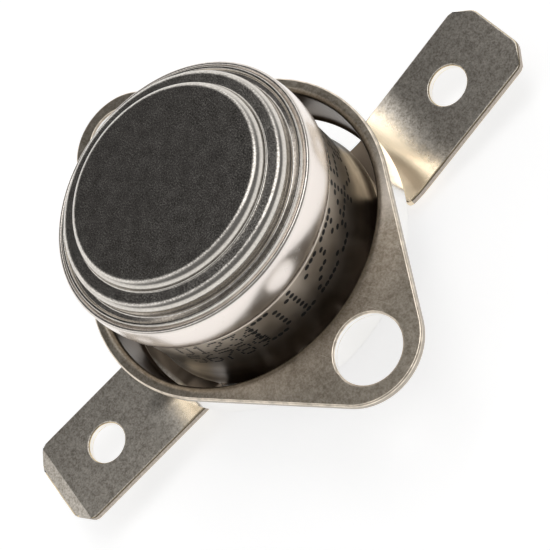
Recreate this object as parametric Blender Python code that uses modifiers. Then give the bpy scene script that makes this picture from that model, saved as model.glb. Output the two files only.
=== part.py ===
"""Temperature limiter: a snap-disc thermal switch with a stepped cap and a two-ear flange.

Units are metres. +Z points out of the sensing face and +X along one ear of the flange.
Heights are measured from the flange's front face; the origin is the centre of the sensing face.
"""
import math

import bmesh
import bpy
from mathutils import Matrix, Vector

MM = 0.001

# Clearances
seat_gap = 0.20 * MM
slide_gap = 0.10 * MM
shank_gap = 0.15 * MM
closed_contact_gap = 0.10 * MM

# Sheet thicknesses
cap_sheet = 0.30 * MM
disc_sheet = 0.20 * MM
housing_sheet = 0.35 * MM
flange_sheet = 0.50 * MM
tab_sheet = 0.80 * MM
bracket_sheet = 0.40 * MM
spring_sheet = 0.20 * MM

# Sensing cap: two steps and a skirt, all heights above the flange's front face
face_height = 7.00 * MM
face_step = 0.60 * MM
face_corner = 0.52 * MM
ledge_step_radius = 7.02 * MM
ledge_width = 1.02 * MM
ledge_step = 0.98 * MM
ledge_corner = 0.42 * MM
bead_radius = 7.48 * MM
bead_rise = 0.13 * MM
groove_radius = 7.68 * MM
groove_depth = 0.12 * MM
skirt_front_radius = 7.93 * MM
skirt_radius = 8.08 * MM
skirt_rear_radius = 7.96 * MM
skirt_length = 2.42 * MM
skirt_belly_rise = 1.15 * MM

# Housing: the printed sleeve behind the skirt
sleeve_radius = 7.70 * MM
neck_radius = 6.90 * MM
rim_radius = 7.40 * MM
sleeve_bead_radius = 7.96 * MM
sleeve_bead_height = 0.75 * MM
sleeve_rear_height = -5.05 * MM
rolled_rim_width = 1.10 * MM
stake_radius = 0.38 * MM
stake_height = -4.30 * MM
stake_count = 4
stake_offset = 45.0

# Mounting flange
hole_pitch = 24.0 * MM
ear_hole_radius = 1.95 * MM
ear_radius = 3.50 * MM
ear_center = 11.35 * MM
flange_radius = 9.80 * MM
collar_radius = 9.00 * MM
collar_depth = 3.30 * MM
collar_top_fillet = 0.40 * MM
collar_bottom_fillet = 0.25 * MM
slot_half_angle = 30.0
slot_lip = 0.15 * MM

# Ceramic base and pin guide
base_wall = 1.30 * MM
base_floor = 1.70 * MM
base_boss = 0.40 * MM
guide_flange_radius = 7.25 * MM
guide_rim_width = 0.55 * MM
guide_recess = 0.45 * MM
guide_boss_radius = 2.20 * MM
guide_web = 1.10 * MM

# Snap disc
disc_edge_gap = 0.37 * MM
disc_dome = 0.40 * MM

# Transfer pin
pin_radius = 0.95 * MM
pin_end_round = 0.45 * MM
pin_arm_gap = 0.15 * MM

# Terminals: two tabs on one line, turned about Z against the flange's ears
terminal_turn = -5.5
tab_width = 6.30 * MM
neck_width = 4.30 * MM
root_inner_reach = 2.20 * MM
shoulder_reach = 8.00 * MM
tab_reach = 18.95 * MM
tab_hole_setback = 4.30 * MM
tab_hole_radius = 1.24 * MM
tab_chamfer = 1.05 * MM
tab_chamfer_length = 1.05 * MM
tip_taper_length = 1.00 * MM
tip_taper = 0.22 * MM
root_reach = 5.60 * MM
bend_radius = 4.0 * MM
dip_reach = 8.60 * MM
dip_depth = 0.52 * MM
dipped_tip_rise = 1.05 * MM
step_reach = 8.60 * MM
step_rise = 0.50 * MM
stepped_tip_rise = 0.97 * MM

# Rivets and contacts
rivet_reach = 3.55 * MM
rivet_shank_radius = 1.00 * MM
rivet_head_radius = 1.60 * MM
rivet_head_height = 0.60 * MM
inner_head_radius = 1.40 * MM
inner_head_height = 0.55 * MM
pad_inner_reach = 2.00 * MM
riser_reach = 5.40 * MM
pad_width = 2.60 * MM
arm_depth = 3.00 * MM
arm_width = 2.40 * MM
arm_tip_width = 1.90 * MM
arm_rear_reach = 4.70 * MM
arm_tip_reach = 4.55 * MM
hinge_reach = 3.50 * MM
contact_reach = 3.70 * MM
contact_radius = 0.90 * MM
contact_head = 0.45 * MM
contact_shank_radius = 0.40 * MM
contact_tail_radius = 0.62 * MM
contact_tail = 0.20 * MM
fixed_arm_inner_reach = 2.70 * MM

# Facets around a full turn
body_facets = 48
inner_facets = 36
small_facets = 16
arc_step = math.radians(46)

# How far a cutter runs past what it cuts
cut_margin = 1.00 * MM

# Levels and sizes that follow from those above
ledge_height = face_height - face_step
shelf_height = ledge_height - ledge_step
skirt_rear_height = shelf_height - skirt_length
skirt_belly_height = skirt_rear_height + skirt_belly_rise
face_step_radius = ledge_step_radius - ledge_width
disc_radius = ledge_step_radius - cap_sheet - disc_edge_gap
tab_hole_reach = tab_reach - tab_hole_setback
arm_height = skirt_rear_height - arm_depth
lip_radius = neck_radius + seat_gap + 0.10 * MM
neck_top = skirt_rear_height + cap_sheet + seat_gap
rim_top = neck_top + housing_sheet
shoulder_height = skirt_rear_height - seat_gap
floor_top = -collar_depth
floor_bottom = floor_top - flange_sheet
floor_hole_radius = sleeve_radius + 0.30 * MM
bead_bottom = floor_top + seat_gap
sleeve_inner_radius = sleeve_radius - housing_sheet
neck_inner_radius = neck_radius - housing_sheet
shoulder_inside = shoulder_height - housing_sheet
base_radius = sleeve_inner_radius - seat_gap
base_cavity_radius = base_radius - base_wall
base_top = shoulder_inside - seat_gap
rolled_bottom = sleeve_rear_height
rolled_top = rolled_bottom + housing_sheet
rolled_inner_radius = sleeve_radius - rolled_rim_width
rear_ledge = rolled_top + seat_gap
base_rear = rolled_bottom - base_boss
cavity_floor = base_rear + base_floor
guide_bottom = base_top + seat_gap
guide_flange_bottom = rim_top + seat_gap
guide_flange_top = shelf_height - groove_depth - cap_sheet - seat_gap
disc_rim_top = ledge_height - cap_sheet - seat_gap
disc_rim_bottom = disc_rim_top - disc_sheet
guide_rim_top = disc_rim_bottom - seat_gap
guide_floor = guide_rim_top - guide_recess
guide_spigot_radius = neck_inner_radius - seat_gap
guide_rim_radius = ledge_step_radius - cap_sheet - seat_gap
pin_top = disc_rim_bottom + disc_dome - seat_gap
pin_bottom = arm_height + spring_sheet / 2 + pin_arm_gap
root_top = base_rear - seat_gap
root_middle = root_top - tab_sheet / 2
outer_head_top = root_top - tab_sheet - seat_gap
pad_middle = cavity_floor + seat_gap + bracket_sheet / 2
inner_head_bottom = pad_middle + bracket_sheet / 2 + seat_gap
moving_head_bottom = arm_height + spring_sheet / 2 + slide_gap
fixed_head_bottom = moving_head_bottom + contact_head + closed_contact_gap
fixed_arm_middle = fixed_head_bottom + contact_head + slide_gap + bracket_sheet / 2
shelf_middle = arm_height - spring_sheet / 2 - seat_gap - bracket_sheet / 2


def remove_everything():
    """Start from an empty scene."""
    for item in list(bpy.data.objects):
        bpy.data.objects.remove(item, do_unlink=True)


def collection(name):
    """A new collection in the scene."""
    made = bpy.data.collections.new(name)
    bpy.context.scene.collection.children.link(made)
    return made


def metal(name, color, roughness, metallic=1.0):
    """A Principled material with one colour."""
    made = bpy.data.materials.new(name)
    made.use_nodes = True
    shader = made.node_tree.nodes["Principled BSDF"]
    shader.inputs["Base Color"].default_value = (*color, 1.0)
    shader.inputs["Roughness"].default_value = roughness
    shader.inputs["Metallic"].default_value = metallic
    return made


def round_corners(corners, closed=False):
    """Points of a path whose corners are (x, y, radius); a radius of 0 stays sharp."""
    points = []
    count = len(corners)
    for index, (x, y, radius) in enumerate(corners):
        here = Vector((x, y))
        at_end = not closed and index in (0, count - 1)
        if radius == 0 or at_end:
            points.append(here)
            continue
        before = (Vector(corners[index - 1][:2]) - here).normalized()
        after = (Vector(corners[(index + 1) % count][:2]) - here).normalized()
        half = before.angle(after) / 2
        center = here + (before + after).normalized() * (radius / math.sin(half))
        start = here + before * (radius / math.tan(half)) - center
        end = here + after * (radius / math.tan(half)) - center
        sweep = math.atan2(start.x * end.y - start.y * end.x, start.dot(end))
        steps = max(1, math.ceil(abs(sweep) / arc_step))
        for step in range(steps + 1):
            points.append(center + Matrix.Rotation(sweep * step / steps, 2) @ start)
    return points


def arc_points(radius, start, end, steps, center=(0.0, 0.0)):
    """Points on an arc, with its angles in degrees."""
    angles = [math.radians(start + (end - start) * step / steps) for step in range(steps + 1)]
    return [(center[0] + radius * math.cos(a), center[1] + radius * math.sin(a)) for a in angles]


def add_object(name, mesh, home, material=None, parent=None):
    """Link a mesh as a named object, shaded smooth up to 30 degrees."""
    made = bpy.data.objects.new(name, mesh)
    home.objects.link(made)
    mesh.shade_smooth()
    mesh.set_sharp_from_angle(angle=math.radians(30))
    if material:
        mesh.materials.append(material)
    if parent:
        made.parent = parent
    return made


def as_cutter(item):
    """Hide a cutter from the render and draw it as wire."""
    item.hide_render = True
    item.display_type = "WIRE"
    return item


def turned(name, loop, home, material=None, facets=body_facets, parent=None):
    """A closed profile of (radius, height) points turned about Z."""
    mesh = bpy.data.meshes.new(name)
    build = bmesh.new()
    verts = [build.verts.new((point[0], 0.0, point[1])) for point in loop]
    on_axis = [abs(point[0]) < 1e-9 for point in loop]
    for index, vert in enumerate(verts):
        follower = (index + 1) % len(verts)
        if not (on_axis[index] and on_axis[follower]):
            build.edges.new((vert, verts[follower]))
    build.to_mesh(mesh)
    build.free()
    made = add_object(name, mesh, home, material, parent)
    screw = made.modifiers.new("Turn", "SCREW")
    screw.axis = "Z"
    screw.angle = math.tau
    screw.steps = facets
    screw.render_steps = facets
    screw.use_merge_vertices = True
    screw.merge_threshold = 0.00001
    screw.use_smooth_shade = False
    return made


def plate(name, outline, low, high, home, material=None, parent=None):
    """A flat outline, drawn as a filled 2D curve, with its faces at two heights."""
    curve = bpy.data.curves.new(name + "_outline", "CURVE")
    curve.dimensions = "2D"
    curve.fill_mode = "BOTH"
    curve.extrude = (high - low) / 2
    spline = curve.splines.new("POLY")
    spline.points.add(len(outline) - 1)
    for point, place in zip(spline.points, outline):
        point.co = (place[0], place[1], 0.0, 1.0)
    spline.use_cyclic_u = True
    drawn = bpy.data.objects.new(name + "_outline", curve)
    home.objects.link(drawn)
    evaluated = drawn.evaluated_get(bpy.context.evaluated_depsgraph_get())
    mesh = bpy.data.meshes.new_from_object(evaluated)
    bpy.data.objects.remove(drawn, do_unlink=True)
    mesh.name = name
    mesh.transform(Matrix.Translation((0.0, 0.0, (high + low) / 2)))
    build = bmesh.new()
    build.from_mesh(mesh)
    bmesh.ops.remove_doubles(build, verts=build.verts, dist=1e-7)
    bmesh.ops.recalc_face_normals(build, faces=build.faces)
    build.to_mesh(mesh)
    build.free()
    return add_object(name, mesh, home, material, parent)


def thickened(path, sheet):
    """The closed outline of a sheet whose middle follows a path in one plane."""
    sides = ([], [])
    for index, point in enumerate(path):
        before = (point - path[index - 1]).normalized() if index else None
        after = (path[index + 1] - point).normalized() if index + 1 < len(path) else None
        along = ((before or after) + (after or before)).normalized()
        stretch = 1.0 / max(0.3, along.dot(after or before))
        normal = Vector((-along.y, along.x)) * (sheet / 2 * stretch)
        sides[0].append(point + normal)
        sides[1].append(point - normal)
    return sides[0] + sides[1][::-1]


def formed_strip(name, outline, width, home, material=None, parent=None):
    """A side outline of (y, z) points made into a strip that is wide along X."""
    made = plate(name, outline, -width / 2, width / 2, home, material, parent)
    side_to_upright = Matrix(((0, 0, 1, 0), (1, 0, 0, 0), (0, 1, 0, 0), (0, 0, 0, 1)))
    made.data.transform(side_to_upright)
    return made


def drilled(item, tool, operation="DIFFERENCE"):
    """Cut, keep or join with a tool, by an exact Boolean."""
    cut = item.modifiers.new(tool.name, "BOOLEAN")
    cut.operation = operation
    cut.solver = "EXACT"
    cut.object = tool
    return item


def drill(name, radius, x, y, low, high, home, parent=None, facets=small_facets):
    """A round cutter that stands along Z."""
    tool = turned(name, [(0, high), (radius, high), (radius, low), (0, low)], home, None, facets, parent)
    tool.location = (x, y, 0.0)
    return as_cutter(tool)


def sensor_cap(home, finish):
    """The stepped cap, with its skirt's lip rolled in behind the housing's front rim."""
    outer = [
        (0, face_height, 0),
        (face_step_radius, face_height, face_corner),
        (face_step_radius, ledge_height, 0),
        (face_step_radius + 0.12 * MM, ledge_height, 0),
        (ledge_step_radius, ledge_height, ledge_corner),
        (ledge_step_radius, shelf_height, 0),
        (bead_radius - 0.12 * MM, shelf_height, 0),
        (bead_radius, shelf_height + bead_rise, 0),
        (groove_radius - 0.05 * MM, shelf_height - groove_depth, 0),
        (groove_radius + 0.03 * MM, shelf_height - groove_depth, 0),
        (skirt_front_radius, shelf_height - 0.02 * MM, 0.10 * MM),
        (skirt_radius, skirt_belly_height, 1.6 * MM),
        (skirt_rear_radius, skirt_rear_height, 0.28 * MM),
        (lip_radius, skirt_rear_height, 0),
    ]
    inner = [
        (lip_radius, skirt_rear_height + cap_sheet, 0),
        (skirt_rear_radius - cap_sheet, skirt_rear_height + cap_sheet, 0),
        (skirt_radius - cap_sheet, skirt_belly_height, 0),
        (skirt_front_radius - cap_sheet, shelf_height - groove_depth - cap_sheet, 0),
        (ledge_step_radius - cap_sheet, shelf_height - groove_depth - cap_sheet, 0),
        (ledge_step_radius - cap_sheet, ledge_height - cap_sheet, 0),
        (face_step_radius - cap_sheet, ledge_height - cap_sheet, 0),
        (face_step_radius - cap_sheet, face_height - cap_sheet, 0),
        (0, face_height - cap_sheet, 0),
    ]
    return turned("sensor_cap", round_corners(outer) + round_corners(inner), home, finish)


def housing(home, cutters, finish):
    """The sleeve: front rim, neck, bead over the flange's floor, stakes below it and a rolled rear rim."""
    loop = [
        (neck_inner_radius, rim_top, 0),
        (rim_radius, rim_top, 0.12 * MM),
        (rim_radius, neck_top, 0),
        (neck_radius, neck_top, 0),
        (neck_radius, shoulder_height, 0),
        (sleeve_radius, shoulder_height, 0.25 * MM),
        (sleeve_radius, bead_bottom + sleeve_bead_height, 0),
        (sleeve_bead_radius, bead_bottom + 0.10 * MM, 0.08 * MM),
        (sleeve_radius, bead_bottom - 0.05 * MM, 0),
        (sleeve_radius, rolled_bottom, 0.35 * MM),
        (rolled_inner_radius, rolled_bottom, 0),
        (rolled_inner_radius, rolled_top, 0),
        (sleeve_inner_radius, rolled_top, 0),
        (sleeve_inner_radius, shoulder_inside, 0.12 * MM),
        (neck_inner_radius, shoulder_inside, 0),
    ]
    sleeve = turned("housing", round_corners(loop, closed=True), home, finish)
    for index in range(stake_count):
        angle = math.radians(stake_offset + 360.0 * index / stake_count)
        mesh = bpy.data.meshes.new("stake")
        build = bmesh.new()
        bmesh.ops.create_uvsphere(build, u_segments=10, v_segments=6, radius=stake_radius)
        build.to_mesh(mesh)
        build.free()
        stake = as_cutter(add_object(f"stake_{index + 1}", mesh, cutters))
        reach = sleeve_inner_radius + stake_radius + 0.05 * MM
        stake.location = (reach * math.cos(angle), reach * math.sin(angle), stake_height)
        drilled(sleeve, stake, "UNION")
    return sleeve


def flange_outline():
    """A round centre joined to two round ears by straight tangents."""
    lean = math.degrees(math.acos((flange_radius - ear_radius) / ear_center))
    right = arc_points(ear_radius, -lean, lean, 10, (ear_center, 0.0))
    top = arc_points(flange_radius, lean, 180.0 - lean, 12)
    left = arc_points(ear_radius, 180.0 - lean, 180.0 + lean, 10, (-ear_center, 0.0))
    bottom = arc_points(flange_radius, 180.0 + lean, 360.0 - lean, 12)
    return right + top + left + bottom


def mounting_flange(home, cutters, finish):
    """The drawn flange: a turned sheet trimmed to the eared outline, with holes and floor slots."""
    trim_radius = ear_center + 2 * ear_radius
    loop = [
        (trim_radius, 0, 0),
        (trim_radius, -flange_sheet, 0),
        (collar_radius + flange_sheet, -flange_sheet, 0),
        (collar_radius + flange_sheet, floor_bottom, collar_bottom_fillet + 0.30 * MM),
        (floor_hole_radius, floor_bottom, 0),
        (floor_hole_radius, floor_top, 0),
        (collar_radius, floor_top, collar_bottom_fillet),
        (collar_radius, 0, collar_top_fillet),
    ]
    flange = turned("mounting_flange", round_corners(loop, closed=True), home, finish)
    trim = plate("flange_trim", flange_outline(), floor_bottom - cut_margin, cut_margin, cutters)
    drilled(flange, as_cutter(trim), "INTERSECT")
    for index, side in enumerate((1, -1)):
        x = side * hole_pitch / 2
        hole = drill(f"ear_hole_{index + 1}", ear_hole_radius, x, 0.0, -flange_sheet - cut_margin, cut_margin,
                     cutters, facets=28)
        drilled(flange, hole)
        middle = side * 90.0
        outer = collar_radius - slot_lip
        slot = arc_points(outer, middle - slot_half_angle, middle + slot_half_angle, 9)
        slot += arc_points(neck_radius, middle + slot_half_angle, middle - slot_half_angle, 6)
        tool = plate(f"floor_slot_{index + 1}", slot, floor_bottom - cut_margin, floor_top + cut_margin, cutters)
        drilled(flange, as_cutter(tool))
    return flange


def ceramic_base(home, cutters, finish, line):
    """The ceramic cup behind the contacts, with its rear ledge under the rolled rim."""
    boss_radius = rolled_inner_radius - seat_gap
    loop = [
        (base_cavity_radius, base_top, 0),
        (base_radius, base_top, 0.2 * MM),
        (base_radius, rear_ledge, 0.2 * MM),
        (boss_radius, rear_ledge, 0),
        (boss_radius, base_rear, 0.15 * MM),
        (0, base_rear, 0),
        (0, cavity_floor, 0),
        (base_cavity_radius, cavity_floor, 0),
    ]
    base = turned("ceramic_base", round_corners(loop, closed=True), home, finish, inner_facets)
    for index, side in enumerate((1, -1)):
        hole = drill(f"base_hole_{index + 1}", rivet_shank_radius + shank_gap, 0.0, side * rivet_reach,
                     base_rear - cut_margin, cavity_floor + cut_margin, cutters, line)
        drilled(base, hole)
    return base


def pin_guide(home, finish):
    """The ceramic guide: disc rim on top, flange on the housing's rim, spigot and bored boss below."""
    bore = pin_radius + slide_gap
    loop = [
        (bore, guide_floor, 0),
        (guide_rim_radius - guide_rim_width, guide_floor, 0),
        (guide_rim_radius - guide_rim_width, guide_rim_top, 0),
        (guide_rim_radius, guide_rim_top, 0.1 * MM),
        (guide_rim_radius, guide_flange_top, 0),
        (guide_flange_radius, guide_flange_top, 0),
        (guide_flange_radius, guide_flange_bottom, 0),
        (guide_spigot_radius, guide_flange_bottom, 0),
        (guide_spigot_radius, guide_bottom, 0.15 * MM),
        (guide_spigot_radius - base_wall, guide_bottom, 0),
        (guide_spigot_radius - base_wall, guide_floor - guide_web, 0),
        (guide_boss_radius, guide_floor - guide_web, 0),
        (guide_boss_radius, guide_bottom, 0.15 * MM),
        (bore, guide_bottom, 0),
    ]
    return turned("pin_guide", round_corners(loop, closed=True), home, finish, inner_facets)


def bimetal_disc(home, finish):
    """The snap disc: a shallow dome of one thickness, its rim under the cap's ledge."""
    steps = 4
    sphere = (disc_radius ** 2 + disc_dome ** 2) / (2 * disc_dome)
    center = disc_rim_bottom + disc_dome - sphere
    under = []
    for step in range(steps + 1):
        radius = disc_radius * step / steps
        under.append((radius, center + math.sqrt(sphere ** 2 - radius ** 2)))
    over = [(radius, height + disc_sheet) for radius, height in under]
    return turned("bimetal_disc", over + under[::-1], home, finish, inner_facets)


def transfer_pin(home, finish):
    """The ceramic pin from the disc to the arm, with rounded ends; it slides along Z."""
    loop = [
        (0, pin_top, 0),
        (pin_radius, pin_top, pin_end_round),
        (pin_radius, pin_bottom, pin_end_round),
        (0, pin_bottom, 0),
    ]
    return turned("transfer_pin", round_corners(loop), home, finish, small_facets)


def rivet(name, levels, radii, reach, home, finish, line):
    """A turned rivet: head, shank and tail, each between two levels, from the top down."""
    top, head_under, tail_over, bottom = levels
    head, shank, tail = radii
    loop = [
        (0, top, 0),
        (head, top, 0.08 * MM),
        (head, head_under, 0),
        (shank, head_under, 0),
        (shank, tail_over, 0),
        (tail, tail_over, 0),
        (tail, bottom, 0.08 * MM),
        (0, bottom, 0),
    ]
    made = turned(name, round_corners(loop), home, finish, small_facets, line)
    made.location = (0.0, reach, 0.0)
    return made


def terminal(name, side, bend_reach, bend_rise, tip_rise, home, cutters, finish, line):
    """A tab terminal: narrow root under the base, shoulder, gentle bends and chamfered, coined tab."""
    path = [
        (root_inner_reach, root_middle, 0),
        (root_reach, root_middle, bend_radius),
        (bend_reach, root_middle + bend_rise, bend_radius),
        (tab_reach, root_middle + tip_rise, 0),
    ]
    middle = round_corners(path)
    along = (middle[-1] - middle[-2]).normalized()
    outline = thickened(middle[:-1] + [middle[-1] - along * tip_taper_length], tab_sheet)
    half = len(outline) // 2
    up = Vector((-along.y, along.x)) * (tab_sheet / 2 - tip_taper)
    outline[half:half] = [middle[-1] + up, middle[-1] - up]
    made = formed_strip(name, [(side * y, z) for y, z in outline], tab_width, home, finish, line)
    plan = [
        (neck_width / 2, root_inner_reach - cut_margin),
        (neck_width / 2, shoulder_reach),
        (tab_width, shoulder_reach),
        (tab_width, tab_reach - tab_chamfer_length * (1 + tab_width / 2 / tab_chamfer)),
        (tab_width / 2 - tab_chamfer, tab_reach),
        (tab_width / 2 - tab_chamfer, tab_reach + cut_margin),
    ]
    plan += [(-x, y) for x, y in reversed(plan)]
    lowest = root_middle + min(0.0, bend_rise)
    low = lowest - tab_sheet / 2 - cut_margin
    high = root_middle + tip_rise + tab_sheet / 2 + cut_margin
    trim = plate(name + "_trim", [(x, side * y) for x, y in plan], low, high, cutters, None, line)
    drilled(made, as_cutter(trim), "INTERSECT")
    holes = (
        ("tab_hole", tab_hole_radius, tab_hole_reach),
        ("root_hole", rivet_shank_radius + shank_gap, rivet_reach),
    )
    for label, radius, reach in holes:
        tool = drill(f"{name}_{label}", radius, 0.0, side * reach, low, high, cutters, line, 24)
        drilled(made, tool)
    return made


def bracket(name, side, top_middle, top_reach, hole, home, cutters, finish, line):
    """A C-shaped strip: pad under the rivet's head, riser at the wall and a top leg that points inwards."""
    path = [
        (pad_inner_reach, pad_middle, 0),
        (riser_reach, pad_middle, 0.3 * MM),
        (riser_reach, top_middle, 0.3 * MM),
        (top_reach, top_middle, 0),
    ]
    outline = thickened(round_corners(path), bracket_sheet)
    made = formed_strip(name, [(side * y, z) for y, z in outline], pad_width, home, finish, line)
    pad_hole = drill(name + "_pad_hole", rivet_shank_radius + shank_gap, 0.0, side * rivet_reach,
                     pad_middle - bracket_sheet / 2 - cut_margin, inner_head_bottom + cut_margin, cutters, line)
    drilled(made, pad_hole)
    if hole:
        tool = drill(name + "_contact_hole", contact_shank_radius + slide_gap, 0.0, side * contact_reach,
                     top_middle - cut_margin, top_middle + cut_margin, cutters, line)
        drilled(made, tool)
    return made


def contact_arm(home, cutters, finish, line):
    """The spring arm: a tapered strip with its origin on the hinge line at the shelf's edge."""
    hinge = bpy.data.objects.new("arm_hinge", None)
    home.objects.link(hinge)
    hinge.parent = line
    hinge.location = (0.0, -hinge_reach, arm_height)
    rear = hinge_reach - arm_rear_reach
    tip = hinge_reach + arm_tip_reach
    outline = [
        (-arm_width / 2, rear, 0),
        (arm_width / 2, rear, 0),
        (arm_width / 2, hinge_reach / 2, 0),
        (arm_tip_width / 2, tip, 0.6 * MM),
        (-arm_tip_width / 2, tip, 0.6 * MM),
        (-arm_width / 2, hinge_reach / 2, 0),
    ]
    arm = plate("contact_arm", round_corners(outline, closed=True), -spring_sheet / 2, spring_sheet / 2,
                home, finish, hinge)
    hole = drill("arm_contact_hole", contact_shank_radius + slide_gap, 0.0, hinge_reach + contact_reach,
                 -cut_margin, cut_margin, cutters, hinge)
    drilled(arm, hole)
    return hinge


def build():
    """Model every piece."""
    remove_everything()
    parts = collection("temperature_limiter")
    cutters = collection("cutters")

    polished = metal("polished_steel", (0.62, 0.59, 0.56), 0.22)
    sleeve_finish = metal("sleeve_steel", (0.50, 0.47, 0.43), 0.30)
    plated = metal("plated_flange_steel", (0.42, 0.40, 0.37), 0.35)
    tinned = metal("tinned_brass", (0.40, 0.38, 0.34), 0.38)
    ceramic = metal("steatite_ceramic", (0.78, 0.75, 0.68), 0.55, 0.0)
    pin_ceramic = metal("alumina_ceramic", (0.86, 0.85, 0.82), 0.40, 0.0)
    bimetal = metal("bimetal", (0.45, 0.42, 0.38), 0.40)
    brass = metal("brass", (0.72, 0.56, 0.30), 0.30)
    bronze = metal("spring_bronze", (0.70, 0.48, 0.30), 0.32)
    silver = metal("contact_silver", (0.85, 0.84, 0.82), 0.25)

    line = bpy.data.objects.new("terminal_line", None)
    parts.objects.link(line)
    line.rotation_euler = (0.0, 0.0, math.radians(terminal_turn))

    sensor_cap(parts, polished)
    housing(parts, cutters, sleeve_finish)
    mounting_flange(parts, cutters, plated)
    ceramic_base(parts, cutters, ceramic, line)
    pin_guide(parts, ceramic)
    bimetal_disc(parts, bimetal)
    transfer_pin(parts, pin_ceramic)

    terminal("terminal_a", 1, dip_reach, -dip_depth, dipped_tip_rise, parts, cutters, tinned, line)
    terminal("terminal_b", -1, step_reach, step_rise, stepped_tip_rise, parts, cutters, tinned, line)
    levels = (
        inner_head_bottom + inner_head_height,
        inner_head_bottom,
        outer_head_top,
        outer_head_top - rivet_head_height,
    )
    radii = (inner_head_radius, rivet_shank_radius, rivet_head_radius)
    rivet("rivet_a", levels, radii, rivet_reach, parts, tinned, line)
    rivet("rivet_b", levels, radii, -rivet_reach, parts, tinned, line)

    bracket("fixed_bracket", 1, fixed_arm_middle, fixed_arm_inner_reach, True, parts, cutters, brass, line)
    bracket("arm_bracket", -1, shelf_middle, hinge_reach, False, parts, cutters, brass, line)
    hinge = contact_arm(parts, cutters, bronze, line)
    tail = (contact_tail_radius, contact_shank_radius, contact_radius)
    fixed_tail_bottom = fixed_arm_middle + bracket_sheet / 2 + slide_gap
    fixed_levels = (
        fixed_tail_bottom + contact_tail,
        fixed_tail_bottom,
        fixed_head_bottom + contact_head,
        fixed_head_bottom,
    )
    rivet("fixed_contact", fixed_levels, tail, contact_reach, parts, silver, line)
    moving_tail_top = -spring_sheet / 2 - slide_gap
    moving_levels = (
        moving_head_bottom - arm_height + contact_head,
        moving_head_bottom - arm_height,
        moving_tail_top,
        moving_tail_top - contact_tail,
    )
    rivet("moving_contact", moving_levels, tail[::-1], hinge_reach + contact_reach, parts, silver, hinge)

    datum = bpy.data.objects.new("flange_plane", None)
    datum.location = (0.0, 0.0, -face_height)
    parts.objects.link(datum)
    for item in [*parts.objects, *cutters.objects]:
        if item.parent is None and item is not datum:
            item.parent = datum


build()
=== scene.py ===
import math

import bmesh
import bpy
from mathutils import Matrix, Vector


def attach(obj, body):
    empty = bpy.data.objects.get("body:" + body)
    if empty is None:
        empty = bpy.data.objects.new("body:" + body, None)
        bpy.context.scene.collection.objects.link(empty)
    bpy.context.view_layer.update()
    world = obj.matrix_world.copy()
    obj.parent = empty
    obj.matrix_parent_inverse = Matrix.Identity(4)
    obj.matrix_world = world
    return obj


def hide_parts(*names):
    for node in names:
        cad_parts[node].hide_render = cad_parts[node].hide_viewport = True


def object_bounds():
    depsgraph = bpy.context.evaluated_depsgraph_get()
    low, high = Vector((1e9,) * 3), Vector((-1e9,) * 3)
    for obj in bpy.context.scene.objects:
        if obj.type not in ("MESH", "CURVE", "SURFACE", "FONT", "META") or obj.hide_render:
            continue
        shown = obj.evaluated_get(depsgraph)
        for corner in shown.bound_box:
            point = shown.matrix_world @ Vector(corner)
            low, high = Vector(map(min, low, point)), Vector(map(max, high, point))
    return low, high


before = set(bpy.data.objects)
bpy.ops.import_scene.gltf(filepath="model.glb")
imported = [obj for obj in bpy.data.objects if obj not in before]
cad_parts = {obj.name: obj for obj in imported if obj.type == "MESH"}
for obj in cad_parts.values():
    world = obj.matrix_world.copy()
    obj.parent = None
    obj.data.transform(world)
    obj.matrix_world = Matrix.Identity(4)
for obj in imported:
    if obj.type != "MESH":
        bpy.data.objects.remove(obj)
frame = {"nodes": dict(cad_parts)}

CAD_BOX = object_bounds()

# Sizes are in millimetres, and heights count from the flange's front face.
# The sensing face lies at the world's zero.
MM = 0.001
FACE_ABOVE_FLANGE = 7.0
STEPS = 168             # facets round the large drawn pieces
SHARP = 32              # degrees between faces above which an edge is left sharp
SLEEVE = 7.70           # the sleeve's radius
CUP_MOUTH = 9.50        # radius at which the flange's flat front dips into its cup
EAR_HOLE_AT = 12.0      # from the axis to the middle of an ear's hole
EAR_HOLE = 1.95         # its radius
TERMINAL_TURN = -5.5    # degrees about the axis by which both terminals stand turned
TAB_HOLE_AT = 14.65     # from the axis to the middle of a tab's hole
TAB_HOLE = 1.24         # its radius
SHEET = 0.50            # thickness of the flange and of both tabs


# Small shop tools

def level(height):
    """A height above the flange's front face, in millimetres, as a world height in metres."""
    return (height - FACE_ABOVE_FLANGE) * MM


def laid_out(name, build, sharp=SHARP):
    """Turn a bmesh into an object that is shaded smooth between its sharp edges."""
    mesh = bpy.data.meshes.new(name)
    build.to_mesh(mesh)
    build.free()
    mesh.shade_smooth()
    mesh.set_sharp_from_angle(angle=math.radians(sharp))
    piece = bpy.data.objects.new(name, mesh)
    bpy.context.scene.collection.objects.link(piece)
    return piece


def modify(piece, name, kind, **settings):
    """Give a piece a modifier with its settings."""
    made = piece.modifiers.new(name, kind)
    for setting, value in settings.items():
        setattr(made, setting, value)


def finished(name, build, slot, *nodes, sharp=SHARP):
    """Turn a bmesh into a piece of the switch that faces outward and rides on the case."""
    bmesh.ops.recalc_face_normals(build, faces=build.faces)
    if build.calc_volume(signed=True) < 0:
        bmesh.ops.reverse_faces(build, faces=build.faces)
    piece = laid_out(name, build, sharp)
    modify(piece, "even_shading", "WEIGHTED_NORMAL", keep_sharp=True)
    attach(piece, "case")
    if nodes:
        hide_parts(*nodes)
    return piece


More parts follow.
